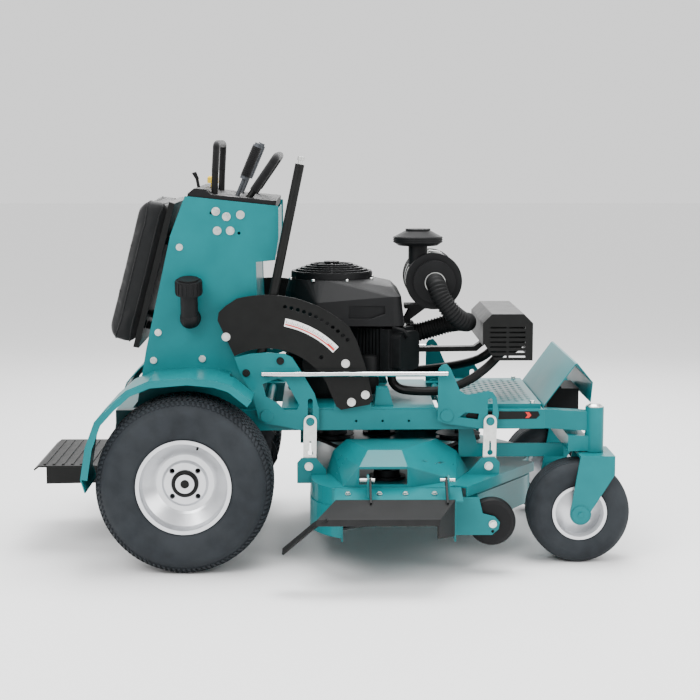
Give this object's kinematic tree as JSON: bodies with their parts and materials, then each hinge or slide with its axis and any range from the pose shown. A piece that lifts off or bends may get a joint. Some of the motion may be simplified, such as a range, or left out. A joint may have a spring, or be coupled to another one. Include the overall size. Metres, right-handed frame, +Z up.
{
  "type": "stand-on zero turn mower",
  "caption": "Stand-on zero turn mower with a side-discharge deck, hand lift lever, folding platform, swivelling front casters and twin control levers.",
  "frame": {"origin": "on the ground below the middle of the machine's bounding box", "axes": "+X forward in the direction of travel, +Y to the operator's left, +Z up"},
  "size_m": [1.944, 1.4678, 1.3535],
  "materials": {
    "teal_paint": "gloss",
    "black_paint": "satin",
    "engine_black": "satin",
    "black_plastic": "matte",
    "rubber": "matte",
    "tyre": "matte",
    "wheel_silver": "satin",
    "zinc": "satin",
    "dark_steel": "satin",
    "housing": "satin",
    "knob_yellow": "gloss",
    "lever_grey": "satin"
  },
  "bodies": {
    "chassis": {"frame_rails": "teal_paint", "frame_crossmembers": "teal_paint", "caster_arms": "teal_paint", "tower_sides": "teal_paint", "tower_panels": "teal_paint", "console": "black_plastic", "fenders": "teal_paint", "hip_pad": "rubber", "fuel_tank": "black_plastic", "engine_block": "engine_black", "engine_cowl": "black_plastic", "fan_guard": "black_plastic", "air_cleaner": "black_plastic", "precleaner": "black_plastic", "intake_hose": "rubber", "exhaust": "black_paint", "muffler_guard": "black_paint", "battery": "black_plastic", "front_cover": "teal_paint", "foot_plate": "teal_paint", "reference_bars": "black_paint", "height_selector": "black_paint", "transaxles": "housing", "chassis_bolts": "zinc"},
    "wheel_right": {"drive_tyre_right": "tyre", "drive_rim_right": "wheel_silver"},
    "wheel_left": {"drive_tyre_left": "tyre", "drive_rim_left": "wheel_silver"},
    "fork_right": {"caster_fork_right": "teal_paint"},
    "fork_left": {"caster_fork_left": "teal_paint"},
    "caster_right": {"caster_tyre_right": "tyre", "caster_rim_right": "wheel_silver"},
    "caster_left": {"caster_tyre_left": "tyre", "caster_rim_left": "wheel_silver"},
    "deck": {"deck_shell": "teal_paint", "deck_brackets": "teal_paint", "deck_hardware": "zinc", "belt_covers": "teal_paint", "spindle_housings": "dark_steel", "deck_belt": "rubber"},
    "chute": {"chute_deflector": "rubber"},
    "antiscalp_right": {"roller_right": "black_plastic"},
    "antiscalp_left": {"roller_left": "black_plastic"},
    "blade_right": {"spindle_right": "dark_steel"},
    "blade_centre": {"spindle_centre": "dark_steel"},
    "blade_left": {"spindle_left": "dark_steel"},
    "clutch": {"clutch_pulley": "dark_steel"},
    "lift_rear": {"lift_cranks_rear": "teal_paint", "lift_lever": "black_paint"},
    "button": {"lever_button": "zinc"},
    "lift_front": {"lift_cranks_front": "teal_paint"},
    "rods": {"lift_rods": "zinc"},
    "links_rear": {"lift_links_rear": "zinc"},
    "links_front": {"lift_links_front": "zinc"},
    "step": {"platform": "black_paint"},
    "lever_right": {"control_lever_right": "lever_grey"},
    "lever_left": {"control_lever_left": "lever_grey"},
    "throttle": {"throttle_lever": "black_plastic"},
    "pto": {"pto_knob": "knob_yellow"},
    "cap": {"fuel_cap": "black_plastic"}
  },
  "joints": [
    {"name": "drive_wheel_right", "type": "hinge", "parent": "chassis", "child": "wheel_right", "pos_m": [-0.452, -0.393, 0.2795], "axis": [0, 1, 0], "continuous": true},
    {"name": "caster_swivel_right", "type": "hinge", "parent": "chassis", "child": "fork_right", "pos_m": [0.86, -0.293, 0.42], "axis": [0, 0, 1], "continuous": true},
    {"name": "caster_wheel_right", "type": "hinge", "parent": "fork_right", "child": "caster_right", "pos_m": [0.807, -0.293, 0.165], "axis": [0, 1, 0], "continuous": true},
    {"name": "drive_wheel_left", "type": "hinge", "parent": "chassis", "child": "wheel_left", "pos_m": [-0.452, 0.537, 0.2795], "axis": [0, 1, 0], "continuous": true},
    {"name": "caster_swivel_left", "type": "hinge", "parent": "chassis", "child": "fork_left", "pos_m": [0.86, 0.437, 0.42], "axis": [0, 0, 1], "continuous": true},
    {"name": "caster_wheel_left", "type": "hinge", "parent": "fork_left", "child": "caster_left", "pos_m": [0.807, 0.437, 0.165], "axis": [0, 1, 0], "continuous": true},
    {"name": "lift_lever", "type": "hinge", "parent": "chassis", "child": "lift_rear", "pos_m": [-0.198, 0.072, 0.47], "axis": [0, 1, 0], "range_deg": [0, 40]},
    {"name": "lift_front_shaft", "type": "hinge", "parent": "chassis", "child": "lift_front", "pos_m": [0.384, 0.072, 0.47], "axis": [0, 1, 0], "range_deg": [0, 40]},
    {"name": "lift_rod_pins", "type": "hinge", "parent": "lift_rear", "child": "rods", "pos_m": [-0.205, 0.072, 0.608], "axis": [0, 1, 0], "range_deg": [-40, 0]},
    {"name": "rear_link_pins", "type": "hinge", "parent": "lift_rear", "child": "links_rear", "pos_m": [-0.058, 0.072, 0.452], "axis": [0, 1, 0], "range_deg": [-55.5, 0]},
    {"name": "front_link_pins", "type": "hinge", "parent": "lift_front", "child": "links_front", "pos_m": [0.524, 0.072, 0.452], "axis": [0, 1, 0], "range_deg": [-55.5, 0]},
    {"name": "deck_lift", "type": "slide", "parent": "chassis", "child": "deck", "axis": [0, 0, -1], "range_m": [0, 0.0835], "deforming": ["deck_belt"]},
    {"name": "lever_button_press", "type": "slide", "parent": "lift_rear", "child": "button", "axis": [-0.2046, 0, -0.9789], "range_m": [0, 0.008], "stiffness_N_per_m": 400, "springref_m": -0.006},
    {"name": "chute_hinge", "type": "hinge", "parent": "deck", "child": "chute", "pos_m": [0.204, -0.548, 0.312], "axis": [1, 0, 0], "range_deg": [-80, 0]},
    {"name": "antiscalp_roller_right", "type": "hinge", "parent": "deck", "child": "antiscalp_right", "pos_m": [0.514, -0.458, 0.163], "axis": [0, 1, 0], "continuous": true},
    {"name": "antiscalp_roller_left", "type": "hinge", "parent": "deck", "child": "antiscalp_left", "pos_m": [0.514, 0.602, 0.163], "axis": [0, 1, 0], "continuous": true},
    {"name": "blade_spindle_right", "type": "hinge", "parent": "deck", "child": "blade_right", "pos_m": [0.188, -0.343, 0.2], "axis": [0, 0, 1], "continuous": true},
    {"name": "blade_spindle_centre", "type": "hinge", "parent": "deck", "child": "blade_centre", "pos_m": [0.448, 0.072, 0.2], "axis": [0, 0, 1], "continuous": true},
    {"name": "blade_spindle_left", "type": "hinge", "parent": "deck", "child": "blade_left", "pos_m": [0.188, 0.487, 0.2], "axis": [0, 0, 1], "continuous": true},
    {"name": "clutch_spin", "type": "hinge", "parent": "chassis", "child": "clutch", "pos_m": [0.013, 0.072, 0.4], "axis": [0, 0, 1], "continuous": true},
    {"name": "platform_fold", "type": "hinge", "parent": "chassis", "child": "step", "pos_m": [-0.684, 0.072, 0.256], "axis": [0, 1, 0], "range_deg": [0, 72]},
    {"name": "control_lever_right", "type": "hinge", "parent": "chassis", "child": "lever_right", "pos_m": [-0.314, -0.078, 1.118], "axis": [0, 1, 0], "range_deg": [-10, 10], "stiffness_Nm_per_rad": 20},
    {"name": "control_lever_left", "type": "hinge", "parent": "chassis", "child": "lever_left", "pos_m": [-0.314, 0.222, 1.118], "axis": [0, 1, 0], "range_deg": [-10, 10], "stiffness_Nm_per_rad": 20},
    {"name": "throttle_lever", "type": "hinge", "parent": "chassis", "child": "throttle", "pos_m": [-0.427, -0.04, 1.195], "axis": [0, 1, 0], "range_deg": [-25, 25]},
    {"name": "pto_pull", "type": "slide", "parent": "chassis", "child": "pto", "axis": [0, 0, 1], "range_m": [0, 0.012]},
    {"name": "fuel_cap_turn", "type": "hinge", "parent": "chassis", "child": "cap", "pos_m": [-0.445, -0.28479, 0.88082], "axis": [0, -0.2079, 0.9781], "range_deg": [0, 90]}
  ],
  "couplings": [
    {"joint": "lift_front_shaft", "follows": "lift_lever", "ratio": 1},
    {"joint": "lift_rod_pins", "follows": "lift_lever", "ratio": -1},
    {"joint": "rear_link_pins", "follows": "lift_lever", "ratio": -1.38},
    {"joint": "front_link_pins", "follows": "lift_lever", "ratio": -1.38},
    {"joint": "deck_lift", "follows": "lift_lever", "m_per_rad": 0.11917},
    {"joint": "blade_spindle_right", "follows": "clutch_spin", "ratio": 1},
    {"joint": "blade_spindle_centre", "follows": "clutch_spin", "ratio": 1},
    {"joint": "blade_spindle_left", "follows": "clutch_spin", "ratio": 1}
  ]
}
